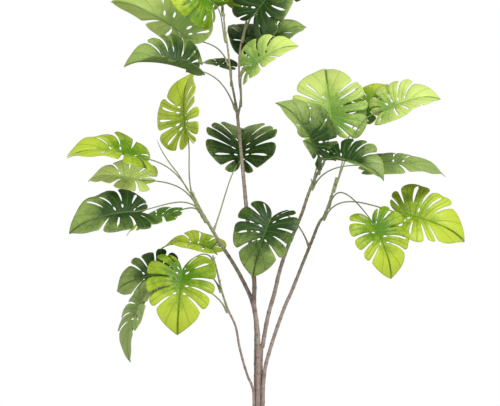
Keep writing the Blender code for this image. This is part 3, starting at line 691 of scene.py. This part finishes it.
def lobe(shape, side, near, far, edges, fold, droop, wave):
    """One lobe between two slits, as a grid from the midrib out to the edge. edges says of its
    near and far edge whether a slit opens there, how far it runs, its hole and its droop."""
    layers = {key: shape.verts.layers.float[key] for key in ("vein", "rib", "run", "reach", "margin")}
    grid = []
    for row in range(INNER_ROWS + OUTER_ROWS + 1):
        opened = max(0.0, (row - INNER_ROWS) / OUTER_ROWS)
        line = []
        for column in range(COLUMNS + 1):
            across = column / COLUMNS
            root, edge, start = (a + (b - a) * across for a, b in zip(near, far))
            r = start * min(1.0, row / INNER_ROWS) + (1 - start) * opened
            own, corner = 1.0, 0.0
            for slit, share, way in zip(edges, (1 - across, across), (1, -1)):
                if slit:
                    edge += way * share * (slit_gap(opened, slit["end"]) + hole_gap(r, slit["hole"]))
                    beside = max(0.0, 2 * share - 1)
                    own -= beside**2 * slit["shared"]
                    if slit["end"] > 1.0:
                        corner += beside**3
            sag = droop * own + sum(
                slit["droop"] * slit["shared"] * max(0.0, 2 * share - 1) ** 2
                for slit, share in zip(edges, (1 - across, across)) if slit)
            r *= 1 - LOBE_ROUNDING * corner * opened**2
            flat = flat_point(root, edge, r)
            height = blade_height(*flat, fold) - sag * ((1 - start) * opened) ** 2
            height += QUILTING * abs(math.sin(2 * math.pi * across)) * math.sin(math.pi * min(1.0, r))
            height += EDGE_WAVE * r**3 * math.sin(wave + 26 * edge)
            vertex = shape.verts.new((side * flat.x, flat.y, height))
            width = (flat_point(far[0], far[1], r) - flat_point(near[0], near[1], r)).length
            vertex[layers["vein"]] = abs(across - 0.5) * width
            vertex[layers["rib"]] = flat.x
            vertex[layers["run"]] = r
            vertex[layers["reach"]] = flat.y
            vertex[layers["margin"]] = max(opened * (2 * abs(across - 0.5)) ** 4, opened**6)
            line.append(vertex)
        grid.append(line)
    for low, high in zip(grid, grid[1:]):
        for i in range(COLUMNS):
            corners = (low[i], low[i + 1], high[i + 1], high[i])
            shape.faces.new(corners[::-side])


def blade_shape(name, fold, slits, light):
    """The flat-side-up blade of length 1, both halves joined along the midrib."""
    chance, extra = random.Random(name), random.Random(name + " surface")
    shape = bmesh.new()
    for key in ("vein", "rib", "run", "reach", "margin", "light"):
        shape.verts.layers.float.new(key)
    for side in (-1, 1):
        places = slit_places(slits, chance)
        droops = [chance.uniform(*DROOP_RANGE) * LOBE_DROOP for _ in range(slits)] + [LOBE_DROOP]
        between = [None]
        for low, high in zip(droops, droops[1:]):
            closed = extra.random() < CLOSED_SLITS
            between.append({
                "end": extra.uniform(*CLOSED_ENDS) if closed else OPEN_END,
                "hole": extra.uniform(*HOLE_PLACES) if extra.random() < WITH_HOLE else None,
                "droop": (low + high) / 2, "shared": 1.0 if closed else 0.5})
        between.append(None)
        wave = extra.uniform(0, 2 * math.pi)
        for index, (near, far) in enumerate(zip(places, places[1:])):
            lobe(shape, side, near, far, between[index:index + 2], fold, droops[index], wave)
    bmesh.ops.remove_doubles(shape, verts=shape.verts, dist=2e-4)
    # Every vertex keeps the leaf's lightness, which is partly its own tone and partly painted light and
    # shade.
    for vertex in shape.verts:
        vertex[shape.verts.layers.float["light"]] = light
    return shape


def blade_material(colour_name, deep, light, rib, shine, under):
    """The blade's skin: patchy green, with painted shade towards the base and midrib and painted light
    towards the tip and edge, paler along its veins and edge, quilted and finely veined.
    """
    made, tree = new_material(f"{colour_name}_blade_{'underside' if under else 'face'}")
    clouds = grain(tree, 24.0, 5.0, 0.6, warp=0.6)
    mottle = grain(tree, 190.0, 4.0, 0.65)
    cells = grain(tree, 1700.0, 2.0, 0.6)
    side_vein = remap(tree, stored(tree, "vein"), 0.002, 0.016, 1.0, 0.0)
    midrib = remap(tree, stored(tree, "rib"), 0.004, 0.022, 1.0, 0.0)
    slant = maths(tree, "ADD", stored(tree, "run"), maths(tree, "MULTIPLY", stored(tree, "vein"), 1.3))
    branching = add_node(tree, "TexWave", {
        "Vector": add_node(tree, "CombineXYZ", {0: slant, 1: stored(tree, "rib")}).outputs[0],
        "Scale": 5.5, "Distortion": 2.5, "Detail": 3.0, "Detail Scale": 2.0}).outputs["Fac"]
    fine_vein = remap(tree, branching, 0.86, 1.0)
    # Painted light and shade: each leaf's stored lightness is partly its own tone and partly painted light
    # and shade that sets the whole leaf's brightness.
    tone_and_painted_light = maths(tree, "ADD", stored(tree, "light"), remap(tree, clouds, 0.3, 0.7, -0.18, 0.18))
    # Painted shade and light: darker towards the base and the midrib, lighter towards the tip and the edge.
    tone_and_painted_light = maths(tree, "ADD", tone_and_painted_light, remap(tree, stored(tree, "reach"), 0.0, 0.8, -0.30, 0.32))
    tone_and_painted_light = maths(tree, "ADD", tone_and_painted_light, remap(tree, stored(tree, "run"), 0.0, 0.9, -0.16, 0.16))
    tone_and_painted_light = maths(tree, "ADD", tone_and_painted_light, remap(tree, mottle, 0.3, 0.7, -0.10, 0.10))
    colour = blend(tree, remap(tree, tone_and_painted_light, 0.0, 1.0), deep, light)
    colour = blend(tree, maths(tree, "MULTIPLY", fine_vein, 0.22), colour, rib)
    colour = blend(tree, maths(tree, "MULTIPLY", side_vein, 0.45), colour, rib)
    colour = blend(tree, maths(tree, "MULTIPLY", midrib, 0.85), colour, rib)
    rim = maths(tree, "MULTIPLY", remap(tree, stored(tree, "margin"), 0.45, 1.0),
                remap(tree, mottle, 0.35, 0.6, 0.15, 0.55))
    colour = blend(tree, rim, colour, light)
    specks = remap(tree, grain(tree, 620.0, 2.0, 0.5), 0.70, 0.78, 0.0, 0.6)
    colour = blend(tree, specks, colour, (0.30, 0.24, 0.10))
    veins = maths(tree, "MAXIMUM", side_vein, midrib)
    pillow = maths(tree, "MULTIPLY", veins, 0.55 if under else -0.45)
    pillow = maths(tree, "ADD", pillow, maths(tree, "MULTIPLY", fine_vein, 0.2 if under else -0.15))
    relief = maths(tree, "ADD", pillow, maths(tree, "MULTIPLY", cells, 0.05))
    relief = maths(tree, "ADD", relief, maths(tree, "MULTIPLY", mottle, 0.15))
    low, high = shine
    roughness = maths(tree, "ADD", remap(tree, mottle, 0.3, 0.7, low, high),
                      maths(tree, "MULTIPLY", veins, 0.1))
    dress(tree, colour, roughness, relief, 0.0009, Specular_IOR_Level=0.12 if under else 0.2)
    return made


BLADE_COLOURS = {  # deepest and lightest green, and the veins
    "dark": ((0.013, 0.043, 0.004), (0.240, 0.335, 0.080), (0.065, 0.125, 0.025)),
    "bright": ((0.060, 0.165, 0.001), (0.405, 0.500, 0.040), (0.085, 0.205, 0.002)),
    "pale": ((0.110, 0.225, 0.030), (0.440, 0.545, 0.135), (0.175, 0.310, 0.055)),
}


def paler(colour):
    """The same colour on the underside."""
    return tuple(0.7 * channel + 0.3 * soft for channel, soft in zip(colour, (0.30, 0.42, 0.13)))


blade_skins = {
    key: (blade_material(key, *colours, (0.32, 0.50), False),
          blade_material(key, *map(paler, colours), (0.58, 0.75), True))
    for key, colours in BLADE_COLOURS.items()
}
for cane_name, rows in LEAVES.items():
    for number, (_, base, tip, face, fold, slits, colour, light) in enumerate(rows, 1):
        name = f"{cane_name}_leaf_{number}"
        base, tip = Vector(base), Vector(tip)
        shape = blade_shape(name, fold, slits, light)
        place = facing(base, tip, Vector(face)) @ Matrix.Scale((tip - base).length, 4)
        bmesh.ops.transform(shape, matrix=place, verts=shape.verts)
        blade = piece(name + "_blade", shape, blade_skins[colour], [name])
        shell = blade.modifiers.new("thickness", "SOLIDIFY")
        shell.thickness = BLADE_THICKNESS
        shell.offset = 0.0
        shell.material_offset = 1
        shell.material_offset_rim = 0


# ---- The new shoot ----
# The youngest leaf of the left cane, still rolled into a tight pointed spear. It stands on the
# cane's tip, soft and bright green.

SHOOT_SIDES = 18
SHOOT = [  # x, y, z and radius, from the cane's tip to the point
    (-0.1745, -0.0265, 0.858, 0.0016), (-0.1975, -0.02, 0.8975, 0.0016),
    (-0.2225, -0.01, 0.93, 0.0015), (-0.2425, 0.0, 0.962, 0.0012), (-0.2525, 0.006, 0.985, 0.0005),
]


def rolled(point, turn, run):
    """The overlapping edge of the roll winds round the spear."""
    wound = (turn / (2 * math.pi) + run / 0.05) % 1.0
    return 0.86 + 0.26 * wound


shoot_shape = bmesh.new()
tube(shoot_shape, spaced(smooth(SHOOT, 10), 0.0015), SHOOT_SIDES, rolled)
bmesh.ops.recalc_face_normals(shoot_shape, faces=shoot_shape.faces)
piece("new_shoot_roll", shoot_shape, [stalk_skin], ["new_shoot"])


# ---- The floor, the light and the camera ----
# A plain pale floor in an even white room, with a soft key light high on the right.

def floor_material():
    made, tree = new_material("pale_floor")
    fine = grain(tree, 240.0, 3.0, 0.6)
    colour = blend(tree, remap(tree, grain(tree, 3.0), 0.3, 0.7), (0.80, 0.80, 0.79),
                   (0.84, 0.84, 0.83))
    dress(tree, colour, remap(tree, fine, 0.3, 0.7, 0.6, 0.75), fine, 0.0004)
    return made


FLOOR_REACH = 4.5  # from the plant to the floor's edges
floor_shape = bmesh.new()
bmesh.ops.create_grid(floor_shape, x_segments=24, y_segments=24, size=FLOOR_REACH)
floor_mesh = bpy.data.meshes.new("floor")
floor_shape.to_mesh(floor_mesh)
floor_shape.free()
floor_mesh.materials.append(floor_material())
floor = bpy.data.objects.new("floor", floor_mesh)
floor.location.z = cad_low.z
bpy.context.scene.collection.objects.link(floor)

room = bpy.data.worlds.new("room")
room.use_nodes = True
room.node_tree.nodes["Background"].inputs["Color"].default_value = (1.0, 1.0, 1.0, 1.0)
height = add_node(room.node_tree, "SeparateXYZ", {
    0: add_node(room.node_tree, "TexCoord").outputs["Generated"]}).outputs["Z"]
room.node_tree.links.new(remap(room.node_tree, height, 0.12, 0.5, 1.0, 0.3),
                         room.node_tree.nodes["Background"].inputs["Strength"])
bpy.context.scene.world = room
bpy.context.scene.view_settings.view_transform = "Standard"


def soft_light(name, place, target, size, power):
    """A square soft light aimed at a point."""
    data = bpy.data.lights.new(name, "AREA")
    data.size, data.energy = size, power
    light = bpy.data.objects.new(name, data)
    light.location = place
    light.rotation_euler = (Vector(target) - Vector(place)).to_track_quat("-Z", "Y").to_euler()
    bpy.context.scene.collection.objects.link(light)


middle = (cad_low + cad_high) / 2
soft_light("key", (1.1, -2.0, 3.1), middle, 0.9, 105.0)
soft_light("fill", (-2.4, -1.4, 1.8), middle, 1.6, 22.0)

VIEW_DISTANCE = 10.0
VIEW_WIDTH = 1.25  # seen across the plant
VIEW_X, VIEW_Z = -0.02, 0.8275  # the middle of the view
lens = bpy.data.cameras.new("camera")
lens.sensor_width = 36.0
lens.lens = lens.sensor_width * VIEW_DISTANCE / VIEW_WIDTH
lens.clip_end = 100.0
camera = bpy.data.objects.new("camera", lens)
camera.location = (VIEW_X, -VIEW_DISTANCE, VIEW_Z)
camera.rotation_euler = (math.pi / 2, 0.0, 0.0)
bpy.context.scene.collection.objects.link(camera)
bpy.context.scene.camera = camera
